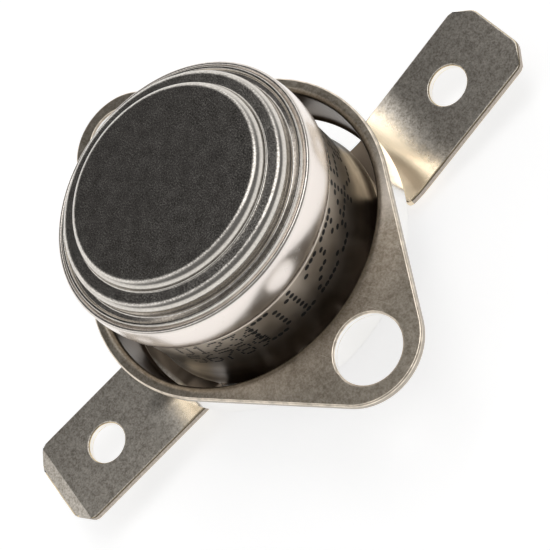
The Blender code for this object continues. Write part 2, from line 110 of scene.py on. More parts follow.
def spun(corners, closed=True, steps=STEPS):
    """Spin a wall section round Z and round its corners. A corner is (radius, height, rounding)."""
    build = bmesh.new()
    verts = [build.verts.new((radius * MM, 0.0, level(height))) for radius, height, _ in corners]
    for here, after in zip(verts, verts[1:]):
        build.edges.new((here, after))
    if closed:
        build.edges.new((verts[-1], verts[0]))
    bmesh.ops.spin(
        build, geom=[*build.verts, *build.edges], cent=(0, 0, 0), axis=(0, 0, 1), dvec=(0, 0, 0),
        angle=math.tau, steps=steps, use_merge=True, use_duplicate=False,
    )
    bmesh.ops.remove_doubles(build, verts=build.verts, dist=1e-7)
    bmesh.ops.recalc_face_normals(build, faces=build.faces)
    for radius, height, rounding in corners:
        if rounding:
            round_ring(build, radius, height, rounding)
    return build


def round_ring(build, radius, height, rounding):
    """Round the ring of edges that lies at one radius and height."""
    near = 2e-6
    ring = [edge for edge in build.edges if all(
        abs(math.hypot(v.co.x, v.co.y) - radius * MM) < near and abs(v.co.z - level(height)) < near
        for v in edge.verts
    )]
    bmesh.ops.bevel(
        build, geom=ring, offset=rounding * MM, offset_type="OFFSET", segments=5,
        profile=0.5, affect="EDGES", material=-1, clamp_overlap=False,
    )


# The metal cap over the snap disc

def stepped_cap():
    """The drawn cap: grained front, two rounded steps, a fine bead and the skirt rolled in behind."""
    build = spun([
        # Sensing face and the two steps
        (0.0, 7.00, 0),
        (6.00, 7.00, 0.50),
        (6.00, 6.40, 0.10),
        (7.00, 6.40, 0.42),
        (7.00, 5.42, 0.10),
        # Bead and groove
        (7.32, 5.42, 0.03),
        (7.40, 5.57, 0.05),
        (7.56, 5.57, 0.05),
        (7.66, 5.28, 0.03),
        (7.74, 5.41, 0.04),
        # Barrelled skirt
        (7.95, 5.41, 0.14),
        (8.08, 4.20, 0.60),
        (7.96, 3.00, 0.30),
        (7.21, 3.00, 0.08),
        # Inside, one wall thickness behind
        (7.21, 3.30, 0),
        (7.66, 3.30, 0),
        (7.78, 4.15, 0),
        (7.63, 5.00, 0),
        (6.72, 5.00, 0),
        (6.72, 6.10, 0),
        (5.70, 6.10, 0),
        (5.70, 6.70, 0),
        (0.0, 6.70, 0),
    ], closed=False)
    return finished("stepped_cap", build, "cap_steel", "sensor_cap")


# The sleeve and its print

def sleeve_with_stakes():
    """The drawn sleeve, swaged out over the flange's floor, staked below it and rolled in at the rear."""
    build = spun([
        # Rim that the cap's skirt grips
        (6.55, 3.85, 0),
        (7.40, 3.85, 0.10),
        (7.40, 3.50, 0),
        (6.90, 3.50, 0),
        (6.90, 2.80, 0.08),
        # Barrel, with the swage above the flange's floor and the rolled rear rim
        (SLEEVE, 2.80, 0.14),
        (SLEEVE, -2.35, 0.30),
        (7.96, -3.00, 0.10),
        (SLEEVE, -3.18, 0),
        (SLEEVE, -5.05, 0.34),
        (6.60, -5.05, 0.10),
        # Inside
        (6.60, -4.70, 0),
        (7.35, -4.70, 0),
        (7.35, 2.45, 0),
        (6.55, 2.45, 0),
    ])
    for quarter in range(4):
        turn = Matrix.Rotation(math.radians(45 + 90 * quarter), 4, "Z")
        stake = turn @ Matrix.Translation(((SLEEVE + 0.08) * MM, 0, level(-4.30)))
        bmesh.ops.create_uvsphere(build, u_segments=24, v_segments=14, radius=0.38 * MM, matrix=stake)
    return finished("sleeve_with_stakes", build, "sleeve_steel", "housing")


PLAIN_FIGURES = {
    "0": "01110 10001 10001 10001 10001 10001 01110",
    "1": "00100 01100 00100 00100 00100 00100 01110",
    "2": "01110 10001 00001 00110 01000 10000 11111",
    "3": "11111 00010 00100 00010 00001 10001 01110",
    "4": "00010 00110 01010 10010 11111 00010 00010",
    "5": "11111 10000 11110 00001 00001 10001 01110",
    "6": "00110 01000 10000 11110 10001 10001 01110",
    "7": "11111 00001 00010 00100 01000 01000 01000",
    "8": "01110 10001 10001 01110 10001 10001 01110",
    "9": "01110 10001 10001 01111 00001 00010 01100",
}


def jet_line(build, figures, start, top, column, row, dot, advance):
    """Lay one line of dot figures on the sleeve, from an azimuth in degrees, its first row at a height.

    Columns, rows and figures each have a pitch, and a dot has a radius.
    """
    radius = SLEEVE + 0.006
    squat = 0.72    # height of a dot over its width
    face = Matrix.Rotation(math.pi / 2, 4, "Y") @ Matrix.Diagonal((squat, 1.0, 1.0, 1.0))
    for place, figure in enumerate(figures):
        for line, dots in enumerate(PLAIN_FIGURES[figure].split()):
            for step in (i for i, mark in enumerate(dots) if mark == "1"):
                along = place * advance + step * column
                turn = Matrix.Rotation(math.radians(start) + along / radius, 4, "Z")
                out = Matrix.Translation((radius * MM, 0, level(top - line * row)))
                bmesh.ops.create_circle(
                    build, cap_ends=True, segments=10, radius=dot * MM, matrix=turn @ out @ face,
                )


def printed_figures():
    """The ink-jet dots on the sleeve: one tall line of plain figures after a block of two small lines."""
    build = bmesh.new()
    tall = (0.40, 0.375, 0.180, 2.05)       # column, row, dot, figure
    small = (0.175, 0.17, 0.092, 1.02)
    jet_line(build, "012345678", -24.0, 2.46, *tall)
    jet_line(build, "01234", -58.0, 2.46, *small)
    jet_line(build, "56789", -58.0, 1.14, *small)
    return finished("printed_figures", build, "sleeve_steel")


# The mounting flange

def arc(build, radius, center, start, end, steps):
    """A wire arc, spun from one vertex; returns its vertices in order."""
    a = math.radians(start)
    first = build.verts.new((center + radius * math.cos(a), radius * math.sin(a), 0.0))
    before = set(build.verts)
    bmesh.ops.spin(
        build, geom=[first], cent=(center, 0, 0), axis=(0, 0, 1), dvec=(0, 0, 0),
        angle=math.radians(end - start), steps=steps, use_merge=False, use_duplicate=False,
    )
    made = [v for v in build.verts if v not in before]
    path = [first]
    while len(path) <= len(made):
        path.append(next(
            e.other_vert(path[-1]) for e in path[-1].link_edges if e.other_vert(path[-1]) not in path
        ))
    return path


def slotted_cup():
    """The flange's cup, drawn down from its mouth, with a wide slot in its floor under each terminal."""
    floor, wall = -3.30, 9.00
    cup = spun(
        [(CUP_MOUTH, 0.0, 0), (wall, 0.0, 0.40), (wall, floor, 0.25), (8.85, floor, 0), (8.00, floor, 0)],
        closed=False,
    )
    for face in cup.faces[:]:
        spot = face.calc_center_median()
        around = abs(math.degrees(math.atan2(spot.x, spot.y)))
        on_floor = math.hypot(spot.x, spot.y) < 8.80 * MM and spot.z < level(floor + 0.1)
        if on_floor and (around < 30 or around > 150):
            cup.faces.remove(face)
    for edge in [e for e in cup.edges if not e.link_faces]:
        cup.edges.remove(edge)
    for vert in [v for v in cup.verts if not v.link_edges]:
        cup.verts.remove(vert)
    return cup


def eared_flange():
    """The drawn flange: a pierced blank with two ears, its cup drawn down and its floor slotted."""
    build = bmesh.new()
    body, ear, ear_at = 9.80 * MM, 3.50 * MM, 11.35 * MM
    lean = math.degrees(math.acos((body - ear) / ear_at))
    runs = [
        arc(build, ear, ear_at, -lean, lean, 40),
        arc(build, body, 0.0, lean, 180 - lean, 56),
        arc(build, ear, -ear_at, 180 - lean, 180 + lean, 40),
        arc(build, body, 0.0, 180 + lean, 360 - lean, 56),
    ]
    for run, after in zip(runs, runs[1:] + runs[:1]):
        build.edges.new((run[-1], after[0]))
    for side in (1, -1):
        hole = Matrix.Translation((side * EAR_HOLE_AT * MM, 0, 0))
        bmesh.ops.create_circle(build, segments=64, radius=EAR_HOLE * MM, matrix=hole)
    bmesh.ops.create_circle(build, segments=STEPS, radius=CUP_MOUTH * MM)
    bmesh.ops.triangle_fill(build, edges=build.edges, use_beauty=True)
    bmesh.ops.translate(build, verts=build.verts, vec=(0, 0, level(0.0)))

    cup = slotted_cup()
    drawn = bpy.data.meshes.new("cup")
    cup.to_mesh(drawn)
    cup.free()
    build.from_mesh(drawn)
    bpy.data.meshes.remove(drawn)
    bmesh.ops.remove_doubles(build, verts=build.verts, dist=4e-6)
    bmesh.ops.recalc_face_normals(build, faces=build.faces)
    top = max(build.faces, key=lambda f: f.calc_center_median().z)
    if top.normal.z < 0:
        bmesh.ops.reverse_faces(build, faces=build.faces)

    # The outline and the ears' holes get the full round, and the slots in the floor a fifth of it.
    rims = build.edges.layers.float.new("bevel_weight_edge")
    for edge in build.edges:
        if edge.is_boundary:
            outside = all(math.hypot(v.co.x, v.co.y) > (CUP_MOUTH + 0.10) * MM for v in edge.verts)
            edge[rims] = 1.0 if outside else 0.2
    piece = laid_out("eared_flange", build)
    modify(piece, "sheet", "SOLIDIFY", thickness=SHEET * MM, offset=-1.0, use_even_offset=False,
           material_offset=1, material_offset_rim=1)
    modify(piece, "punched_edges", "BEVEL", width=0.12 * MM, use_clamp_overlap=False, segments=3,
           limit_method="WEIGHT", material=2, face_strength_mode="FSTR_AFFECTED", harden_normals=True)
    modify(piece, "even_shading", "WEIGHTED_NORMAL", keep_sharp=True, use_face_influence=True)
    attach(piece, "case")
    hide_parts("mounting_flange")
    return piece


# The tab terminals

def come_round(distance, width):
    """How far a bend has come: nothing before it, all the distance after it, rounded across its width."""
    if distance <= -width:
        return 0.0
    if distance >= width:
        return distance
    return (distance + width) ** 2 / (4 * width)


def lifted(reach, bends):
    """Height and slope of a formed strip at a reach. A bend is (place, change of slope, half width)."""
    height = slope = 0.0
    for place, change, width in bends:
        height += change * come_round(reach - place, width)
        slope += change * min(1.0, max(0.0, (reach - place + width) / (2 * width)))
    return height, slope


def blanked_tab(coined, neck, shoulder):
    """A flat tab along Y, in millimetres: blanked, pierced, coined thinner at its tip, its rims rounded.

    Its flats keep material 0. The hole's wall gets 1, the outer wall 2, the rims 3 and the painted dark
    line under a rim 4.
    """
    half, tip, root, step = 3.20, 18.95, 2.2, 8.0
    build = bmesh.new()
    outline = [
        (neck, root), (neck, step), (half, step), (half, tip - 0.95), (half - 1.25, tip),
        (-half + 1.25, tip), (-half, tip - 0.95), (-half, shoulder), (-neck, shoulder), (-neck, root),
    ]
    corners = [build.verts.new((x, y, -SHEET / 2)) for x, y in outline]
    for here, after in zip(corners, corners[1:] + corners[:1]):
        build.edges.new((here, after))
    bmesh.ops.bevel(
        build, geom=corners[2:8], offset=0.28, offset_type="OFFSET", segments=4, profile=0.5,
        affect="VERTICES", material=-1, clamp_overlap=True,
    )
    hole = Matrix.Translation((0, TAB_HOLE_AT, -SHEET / 2))
    bmesh.ops.create_circle(build, segments=48, radius=TAB_HOLE, matrix=hole)
    blank = bmesh.ops.triangle_fill(build, edges=build.edges, use_beauty=True)
    faces = [f for f in blank["geom"] if isinstance(f, bmesh.types.BMFace)]
    pulled = bmesh.ops.extrude_face_region(build, geom=faces)["geom"]
    upper = [v for v in pulled if isinstance(v, bmesh.types.BMVert)]
    bmesh.ops.translate(build, verts=upper, vec=(0, 0, SHEET))
    bmesh.ops.recalc_face_normals(build, faces=build.faces)

    coin_from = tip - 0.85
    everything = [*build.verts, *build.edges, *build.faces]
    bmesh.ops.bisect_plane(build, geom=everything, plane_co=(0, coin_from, 0), plane_no=(0, 1, 0))
    for vert in build.verts:
        past = vert.co.y - coin_from
        if past > 0 and vert.co.z > 0:
            vert.co.z -= coined * past
    build.normal_update()
    rims = [e for e in build.edges if len(e.link_faces) == 2 and e.calc_face_angle() > math.radians(50)
            and abs(e.verts[0].co.z - e.verts[1].co.z) < 0.05]
    bmesh.ops.bevel(
        build, geom=rims, offset=0.10, offset_type="OFFSET", segments=3, profile=0.5,
        affect="EDGES", material=-1, clamp_overlap=False,
    )
    build.normal_update()
    for face in build.faces:
        spot = face.calc_center_median()
        if spot.y < step + 0.3:     # the neck stays plain
            continue
        pierced = math.hypot(spot.x, spot.y - TAB_HOLE_AT) < TAB_HOLE + 0.26
        # Rims get a painted highlight, and the steep facet under a top rim a painted shade line.
        if abs(face.normal.z) < 0.15:
            face.material_index = 1 if pierced else 2
        elif abs(face.normal.z) < 0.94:
            face.material_index = 4 if 0 < face.normal.z < 0.5 and not pierced else 3
    return build


def tab_terminal(name, side, bends, coined, twist, neck, shoulder, node):
    """A tab cut into slices, formed along its bends, rolled by a twist in degrees and set on its side."""
    build = blanked_tab(coined, neck, shoulder)
    form_from, form_to, slices = 2.6, 13.0, 44
    for cut in range(1, slices):
        place = form_from + (form_to - form_from) * cut / slices
        everything = [*build.verts, *build.edges, *build.faces]
        bmesh.ops.bisect_plane(
            build, geom=everything, plane_co=(0, place, 0), plane_no=(0, 1, 0), dist=1e-5,
        )
    turn = Matrix.Rotation(math.radians(TERMINAL_TURN), 3, "Z")
    seat = 5.65     # depth below the flange's front face at which the tab starts
    roll_from, roll_over = 6.0, 3.0
    for vert in build.verts:
        x, y, z = vert.co
        height, slope = lifted(y, bends)
        lean = math.atan(slope)
        reach = y - z * math.sin(lean)
        rolled = math.tan(math.radians(twist)) * min(1.0, max(0.0, (y - roll_from) / roll_over))
        up = height + (z - SHEET / 2) * math.cos(lean) - seat - x * side * rolled
        vert.co = turn @ Vector((x * side * MM, reach * side * MM, level(up)))
    return finished(name, build, "tinned_brass", node, sharp=12)


def terminals():
    """Both tabs. Slopes and places follow the solids: one dips before it rises, the other steps up."""
    first, second = 5.6, 8.6        # where each tab bends, from the axis
    neck_run, tab_run = 3.0, 10.35  # how far each slope goes
    dip, rise = -0.52 / neck_run, 1.57 / tab_run
    step, ease = 0.50 / neck_run, 0.47 / tab_run
    return [
        tab_terminal("tab_terminal_a", 1, [(first, dip, 0.8), (second, rise - dip, 0.9)],
                     coined=0.04, twist=1.0, neck=2.6, shoulder=9.0, node="terminal_a"),
        tab_terminal("tab_terminal_b", -1, [(first, step, 0.8), (second, ease - step, 1.0)],
                     coined=0.27, twist=3.0, neck=2.7, shoulder=8.0, node="terminal_b"),
    ]


# Rivets

def rivet_head(name, side, node):
    """The spread tail of a terminal's rivet, domed a little at its edge."""
    build = spun([
        # Inner head and shank
        (0.0, -2.40, 0), (1.40, -2.40, 0.12), (1.40, -2.95, 0), (1.00, -2.95, 0), (1.00, -6.65, 0),
        # Spread tail with its dimple
        (1.60, -6.65, 0.04), (1.60, -7.25, 0.16), (0.70, -7.25, 0.08), (0.55, -7.08, 0.05),
        (0.0, -7.08, 0),
    ], closed=False, steps=56)
    turn = Matrix.Rotation(math.radians(TERMINAL_TURN), 4, "Z")
    out = Matrix.Translation((0, side * 3.55 * MM, 0))
    bmesh.ops.transform(build, verts=build.verts, matrix=turn @ out)
    return finished(name, build, "tinned_brass", node)


# Materials

def colour(code):
    """An sRGB hex colour as linear RGBA."""
    parts = [int(code[i:i + 2], 16) / 255 for i in (1, 3, 5)]
    return (*[p / 12.92 if p <= 0.04045 else ((p + 0.055) / 1.055) ** 2.4 for p in parts], 1.0)


def feed(tree, node, inputs):
    """Give a node its inputs, in order, by name or by number: values or other nodes' outputs."""
    for name, value in inputs.items() if isinstance(inputs, dict) else enumerate(inputs):
        if isinstance(value, bpy.types.NodeSocket):
            tree.links.new(value, node.inputs[name])
        else:
            node.inputs[name].default_value = value


def add(tree, kind, inputs=(), out=0, **settings):
    """Add a node with its settings and inputs, and return one of its outputs.

    MapRange takes a value, the range it comes from and the range it goes to. Mix takes an amount as
    input 0, and two numbers as inputs 2 and 3, or two colours as 6 and 7 with their mix as output 2.
    """
    node = tree.nodes.new("ShaderNode" + kind)
    for name, value in settings.items():
        setattr(node, name, value)
    feed(tree, node, inputs)
    return node.outputs[out]


def start_material(name):
    """A new node material; returns it with its tree, its shader and its Object coordinates."""
    made = bpy.data.materials.new(name)
    made.use_nodes = True
    tree = made.node_tree
    return made, tree, tree.nodes["Principled BSDF"], add(tree, "TexCoord", out="Object")


def per(size):
    """The scale of a pattern whose patches or lines are about a size apart."""
    return 1 / (size * MM)


def streaks(tree, place, length, width, angle, detail):
    """A pattern of streaks along one direction, with a length and a width."""
    drawn = add(tree, "Mapping", {
        "Vector": place,
        "Rotation": (0, 0, math.radians(angle)),
        "Scale": (length * MM, width * MM, width * MM),
    }, vector_type="TEXTURE")
    return add(tree, "TexNoise", {"Vector": drawn, "Scale": 1.0, "Detail": detail, "Roughness": 0.5})


def scratches(tree, place, angles):
    """Hairline scratches in a few directions, 1 on a scratch and 0 between them."""
    # A real hairline is about 0.01 mm wide, too fine to show, so it is drawn 0.03 mm wide.
    total = 0.0
    for angle in angles:
        hair = add(tree, "MapRange", (streaks(tree, place, 1.6, 0.03, angle, 1), 0.72, 0.80, 0.0, 1.0))
        total = add(tree, "Math", (total, hair), operation="MAXIMUM")
    return total


def draw_rings(tree, place):
    """The fine lines that a drawing die leaves round the Z axis."""
    # The real lines are about 0.01 mm apart, too fine to show, so they are drawn 0.05 mm apart.
    ring = add(tree, "Mapping", {"Vector": place, "Scale": (60, 60, per(0.05))})
    return add(tree, "TexNoise", {"Vector": ring, "Scale": 1.0, "Detail": 3, "Roughness": 0.5})


def drawn_cap_metal():
    """Plated drawn sheet: a dark, finely blasted satin on the stepped front, a bright brushed skirt."""
    made, tree, shader, place = start_material("blasted_and_plated_steel")
    z = add(tree, "SeparateXYZ", (place,), "Z")
    front = add(tree, "MapRange", (z, level(5.2), level(5.5), 0.0, 1.0))     # 0 on the skirt, 1 above it
    # The real grain is about 0.03 mm, too fine to show, so it is drawn at 0.085 mm.
    grain = add(tree, "TexNoise", {"Vector": place, "Scale": per(0.085), "Detail": 3, "Roughness": 0.7})
    clouds = add(tree, "TexNoise", {"Vector": place, "Scale": per(0.8), "Detail": 5, "Roughness": 0.55})
    hairs = scratches(tree, place, (35, 80, 140))
    speck = add(tree, "Mix", {0: 0.25, 2: grain, 3: clouds})
    speck = add(tree, "MapRange", (speck, 0.40, 0.62, 0.0, 1.0))
    satin = add(tree, "Mix", {0: speck, 6: colour("#696560"), 7: colour("#c4bfb8")}, 2, data_type="RGBA")
    hairs = add(tree, "Mix", {0: hairs, 2: 0.0, 3: 0.5})
    satin = add(tree, "Mix", {0: hairs, 6: satin, 7: colour("#f2ece4")}, 2, data_type="RGBA")
    # Where the steps turn away from the face they are painted lighter and smoother, a painted highlight.
    facing = add(tree, "SeparateXYZ", (add(tree, "TexCoord", out="Normal"),), "Z")
    rounded = add(tree, "MapRange", (facing, 0.84, 0.985, 0.60, 0.0))
    satin = add(tree, "Mix", {0: rounded, 6: satin, 7: colour("#f3ede4")}, 2, data_type="RGBA")
    skirt = add(tree, "Mix", {0: clouds, 6: colour("#efe6df"), 7: colour("#f9f1ea")}, 2, data_type="RGBA")
    rough = add(tree, "MapRange", (grain, 0.35, 0.70, 0.18, 0.26))
    rough = add(tree, "Mix", {0: rounded, 2: rough, 3: 0.19})
    smooth = add(tree, "MapRange", (clouds, 0.3, 0.7, 0.20, 0.28))
    lines = add(tree, "Mix", {0: front, 2: draw_rings(tree, place), 3: grain})
    feed(tree, shader, {
        "Metallic": 1.0,
        "Base Color": add(tree, "Mix", {0: front, 6: skirt, 7: satin}, 2, data_type="RGBA"),
        "Roughness": add(tree, "Mix", {0: front, 2: smooth, 3: rough}),
        "Normal": add(tree, "Bump", {"Height": lines, "Distance": 0.0012 * MM}),
    })
    return made


def sleeve_metal():
    """Plain drawn sheet, warmer and duller than the cap's skirt, browner lower, with painted shade on one
    side and deep in the cup.
    """
    made, tree, shader, place = start_material("drawn_sleeve_sheet")
    clouds = add(tree, "TexNoise", {"Vector": place, "Scale": per(0.9), "Detail": 4, "Roughness": 0.55})
    y, z = (add(tree, "SeparateXYZ", (place,), axis) for axis in "YZ")
    # The sheet turns duller and browner towards the bottom.
    higher_up = add(tree, "MapRange", (z, level(-1.4), level(2.6), 0.0, 1.0))
    # Painted shade: the side towards +Y is painted darker.
    shaded = add(tree, "MapRange", (y, 3.0 * MM, 8.0 * MM, 0.0, 0.75))
    fair = add(tree, "Mix", {0: clouds, 6: colour("#cfc2b2"), 7: colour("#e2d8cb")}, 2, data_type="RGBA")
    dull = add(tree, "Mix", {0: clouds, 6: colour("#a89d90"), 7: colour("#bbb0a3")}, 2, data_type="RGBA")
    both = add(tree, "Mix", {0: higher_up, 6: dull, 7: fair}, 2, data_type="RGBA")
    both = add(tree, "Mix", {0: shaded, 6: both, 7: colour("#84796c")}, 2, data_type="RGBA")
    # Painted shade: deep in the cup, towards both sides, the sheet is painted dark brown.
    away = add(tree, "Math", (y,), operation="ABSOLUTE")
    ends = add(tree, "MapRange", (away, 3.8 * MM, 5.2 * MM, 0.0, 0.85))
    low = add(tree, "MapRange", (z, level(-1.7), level(-0.9), 1.0, 0.0))
    deep = add(tree, "Mix", {0: low, 2: 0.0, 3: ends})
    feed(tree, shader, {
        "Metallic": 1.0,
        "Base Color": add(tree, "Mix", {0: deep, 6: both, 7: colour("#564b40")}, 2, data_type="RGBA"),
        "Roughness": add(tree, "MapRange", (clouds, 0.3, 0.7, 0.36, 0.44)),
        "Normal": add(tree, "Bump", {"Height": draw_rings(tree, place), "Distance": 0.0008 * MM}),
    })
    return made


def tumbled_sheet(tree, place, dark, light, speck, low, high, angles):
    """Plated sheet that has been tumbled: fine speckle and hairlines. Returns colour, roughness, bump."""
    clouds = add(tree, "TexNoise", {"Vector": place, "Scale": per(0.9), "Detail": 2, "Roughness": 0.55})
    fine = add(tree, "TexNoise", {"Vector": place, "Scale": per(0.12), "Detail": 3, "Roughness": 0.6})
    flecks = add(tree, "TexNoise", {"Vector": place, "Scale": per(0.30), "Detail": 3, "Roughness": 0.6})
    hairs = scratches(tree, place, angles)
    mottle = add(tree, "Mix", {0: 0.4, 2: fine, 3: flecks})
    wear_and_sheen = add(tree, "MapRange", (clouds, 0.45, 0.75, 0.0, 0.15))
    scored = add(tree, "Mix", {0: hairs, 2: 0.0, 3: 0.6})
    grain = add(tree, "MapRange", (mottle, 0.38, 0.62, 0.0, 1.0))
    both = add(tree, "Mix", {0: grain, 6: colour(dark), 7: colour(light)}, 2, data_type="RGBA")
    both = add(tree, "Mix", {0: wear_and_sheen, 6: both, 7: colour(speck)}, 2, data_type="RGBA")
    both = add(tree, "Mix", {0: scored, 6: both, 7: colour(speck)}, 2, data_type="RGBA")
    rough = add(tree, "MapRange", (mottle, 0.38, 0.62, low, high))
    rough = add(tree, "Mix", {0: hairs, 2: rough, 3: 0.45})
    return both, rough, add(tree, "Bump", {"Height": fine, "Distance": 0.0001 * MM})


def flange_metal():
    """The flange's front: satin grey-brown plating, painted shade in its cup, a painted sheen at one
    corner.
    """
    made, tree, shader, place = start_material("plated_pressed_steel")
    both, rough, bump = tumbled_sheet(
        tree, place, "#918778", "#b9afa1", "#e6dccf", 0.31, 0.33, (20, 65, 150),
    )
    x, y, z = (add(tree, "SeparateXYZ", (place,), axis) for axis in "XYZ")
    # Painted shade: the cup below the front is painted dull brown.
    painted_cup_shade = add(tree, "MapRange", (z, level(-0.5), level(-0.05), 1.0, 0.0))
    smooth = {"interpolation_type": "SMOOTHERSTEP"}
    # Painted sheen: one corner of the front is painted lighter.
    outward = add(tree, "Math", (x, y), operation="ADD")
    painted_sheen = add(tree, "MapRange", (outward, 12.2 * MM, 14.6 * MM, 0.0, 0.8), **smooth)
    beyond = add(tree, "MapRange", (x, 6.2 * MM, 8.8 * MM, 0.0, 1.0), **smooth)
    painted_sheen = add(tree, "Mix", {0: beyond, 2: painted_sheen, 3: 0.0})
    both = add(tree, "Mix", {0: painted_sheen, 6: both, 7: colour("#f2eae0")}, 2, data_type="RGBA")
    feed(tree, shader, {
        "Metallic": 1.0,
        "Base Color": add(tree, "Mix", {0: painted_cup_shade, 6: both, 7: colour("#6e6256")}, 2, data_type="RGBA"),
        "Roughness": rough,
        "Normal": bump,
    })
    return made


def tab_metal(name, side, fade, patch, slant, shaded):
    """Tin-plated brass: speckled satin grey, painted shade on the neck in the cup, a warm painted
    highlight at the bend.

    The painted highlight starts at a place across the tab and fades out at a reach. The painted shade on
    the neck ends at the shaded reach, on a line that slants across the tab.
    """
    made, tree, shader, place = start_material(name)
    both, rough, bump = tumbled_sheet(
        tree, place, "#8b847a", "#c3bcb2", "#e6e0d6", 0.30, 0.32, (30, 95, 160),
    )
    own = add(tree, "Mapping", {
        "Vector": place, "Rotation": (0, 0, math.radians(TERMINAL_TURN)),
    }, vector_type="TEXTURE")
    x, y = (add(tree, "SeparateXYZ", (own,), axis) for axis in "XY")
    reach = add(tree, "Math", (y, float(side)), operation="MULTIPLY")
    clouds = add(tree, "TexNoise", {"Vector": place, "Scale": per(0.4), "Detail": 4, "Roughness": 0.55})
    ragged = add(tree, "Math", (clouds, 0.8 * MM), operation="MULTIPLY")
    wear_and_sheen = add(tree, "Math", (reach, ragged), operation="ADD")
    smooth = {"interpolation_type": "SMOOTHERSTEP"}
    # Painted highlight: a warm, smoother patch at the bend.
    across = add(tree, "MapRange", (x, (patch - 0.6) * MM, (patch + 1.2) * MM, 0.0, 1.0), **smooth)
    painted_light = add(tree, "MapRange", (wear_and_sheen, (fade - 0.3) * MM, (fade + 1.5) * MM, 1.0, 0.0), **smooth)
    painted_light = add(tree, "Math", (painted_light, across), operation="MULTIPLY")
    # Painted shade: the neck inside the cup is painted dull brown.
    slanted = add(tree, "Math", (x, slant, reach), operation="MULTIPLY_ADD")
    neck = add(tree, "MapRange", (slanted, shaded * MM, (shaded + 0.30) * MM, 1.0, 0.0))
    both = add(tree, "Mix", {0: neck, 6: both, 7: colour("#6a5f53")}, 2, data_type="RGBA")
    painted_light = add(tree, "Mix", {0: neck, 2: painted_light, 3: 0.0})
    # The bend leaves the patch leaning: its height changes by 0.15 mm in each millimetre across the tab.
    lean = -0.15
    leaning = add(tree, "MapRange", (reach, (fade - 1.4) * MM, (fade + 2.4) * MM, 1.0, 0.0), **smooth)
    sway = add(tree, "Math", (across, leaning), operation="MULTIPLY")
    from_edge = add(tree, "Math", (x, 2.4 * MM), operation="SUBTRACT")
    sway = add(tree, "Math", (from_edge, sway), operation="MULTIPLY")
    feed(tree, shader, {
        "Metallic": 1.0,
        "Base Color": add(tree, "Mix", {0: painted_light, 6: both, 7: colour("#f5e3c6")}, 2, data_type="RGBA"),
        "Roughness": add(tree, "Mix", {0: painted_light, 2: rough, 3: 0.24}),
        "Normal": add(tree, "Bump", {"Height": sway, "Distance": lean, "Normal": bump}),
    })
    return made


def burnished_edge():
    """The wall that a punch leaves in a tab's hole: burnished bright and smooth, a little cloudy."""
    made, tree, shader, place = start_material("burnished_punched_edge")
    clouds = add(tree, "TexNoise", {"Vector": place, "Scale": per(0.3), "Detail": 3, "Roughness": 0.55})
    both = add(tree, "Mix", {0: clouds, 6: colour("#f6f1ea"), 7: colour("#fffcf6")}, 2, data_type="RGBA")
    feed(tree, shader, {
        "Metallic": 1.0,
        "Base Color": both,
        "Roughness": add(tree, "MapRange", (clouds, 0.3, 0.7, 0.08, 0.18)),
    })
    return made


def flange_rear():
    """The flange's rear: bright drawn plating on the cup and in the holes, torn grey on the outer rim."""
    made, tree, shader, place = start_material("drawn_rear_plating")
    x, y = (add(tree, "SeparateXYZ", (place,), axis) for axis in "XY")
    away = add(tree, "Math", (x,), operation="ABSOLUTE")
    near = add(tree, "Math", (away, EAR_HOLE_AT * MM), operation="SUBTRACT")
    from_hole, from_axis = (
        add(tree, "VectorMath", (add(tree, "CombineXYZ", (out, y)),), "Value", operation="LENGTH")
        for out in (near, x)
    )
    hole = add(tree, "MapRange", (from_hole, (EAR_HOLE + 0.15) * MM, (EAR_HOLE + 0.30) * MM, 1.0, 0.0))
    cup = add(tree, "MapRange", (from_axis, (CUP_MOUTH + 0.10) * MM, (CUP_MOUTH + 0.20) * MM, 1.0, 0.0))
    bright = add(tree, "Math", (hole, cup), operation="MAXIMUM")
    clouds = add(tree, "TexNoise", {"Vector": place, "Scale": per(0.3), "Detail": 3, "Roughness": 0.55})
    torn = add(tree, "Mix", {0: clouds, 6: colour("#a39a8e"), 7: colour("#c4bbae")}, 2, data_type="RGBA")
    feed(tree, shader, {
        "Metallic": 1.0,
        "Base Color": add(tree, "Mix", {0: bright, 6: torn, 7: colour("#f7f6f4")}, 2, data_type="RGBA"),
        "Roughness": add(tree, "Mix", {0: bright, 2: 0.38, 3: 0.16}),
    })
    return made


def sheared_wall():
    """The outer wall of a blanked tab, where warm brass shows through the torn plating."""
    made, tree, shader, place = start_material("sheared_brass_wall")
    torn = add(tree, "TexNoise", {"Vector": place, "Scale": per(0.12), "Detail": 4, "Roughness": 0.65})
    bare = add(tree, "MapRange", (torn, 0.35, 0.65, 0.0, 1.0))
    both = add(tree, "Mix", {0: bare, 6: colour("#a3998e"), 7: colour("#c9beb2")}, 2, data_type="RGBA")
    feed(tree, shader, {
        "Metallic": 1.0,
        "Base Color": both,
        "Roughness": add(tree, "MapRange", (torn, 0.3, 0.7, 0.35, 0.55)),
        "Normal": add(tree, "Bump", {"Height": torn, "Distance": 0.004 * MM}),
    })
    return made


def bare_edge(name, code, rough):
    """A rounded rim painted warm and bright, a painted highlight; also the dark brown line under a tab's
    rim, painted shade.
    """
    made, tree, shader, place = start_material(name)
    clouds = add(tree, "TexNoise", {"Vector": place, "Scale": per(0.5), "Detail": 4, "Roughness": 0.55})
    painted_light = add(tree, "MapRange", (clouds, 0.30, 0.70, 0.35, 1.0))
    both = add(tree, "Mix", {0: painted_light, 6: colour("#8f8577"), 7: colour(code)}, 2, data_type="RGBA")
    feed(tree, shader, {
        "Metallic": 1.0,
        "Base Color": both,
        "Roughness": rough,
    })
    return made


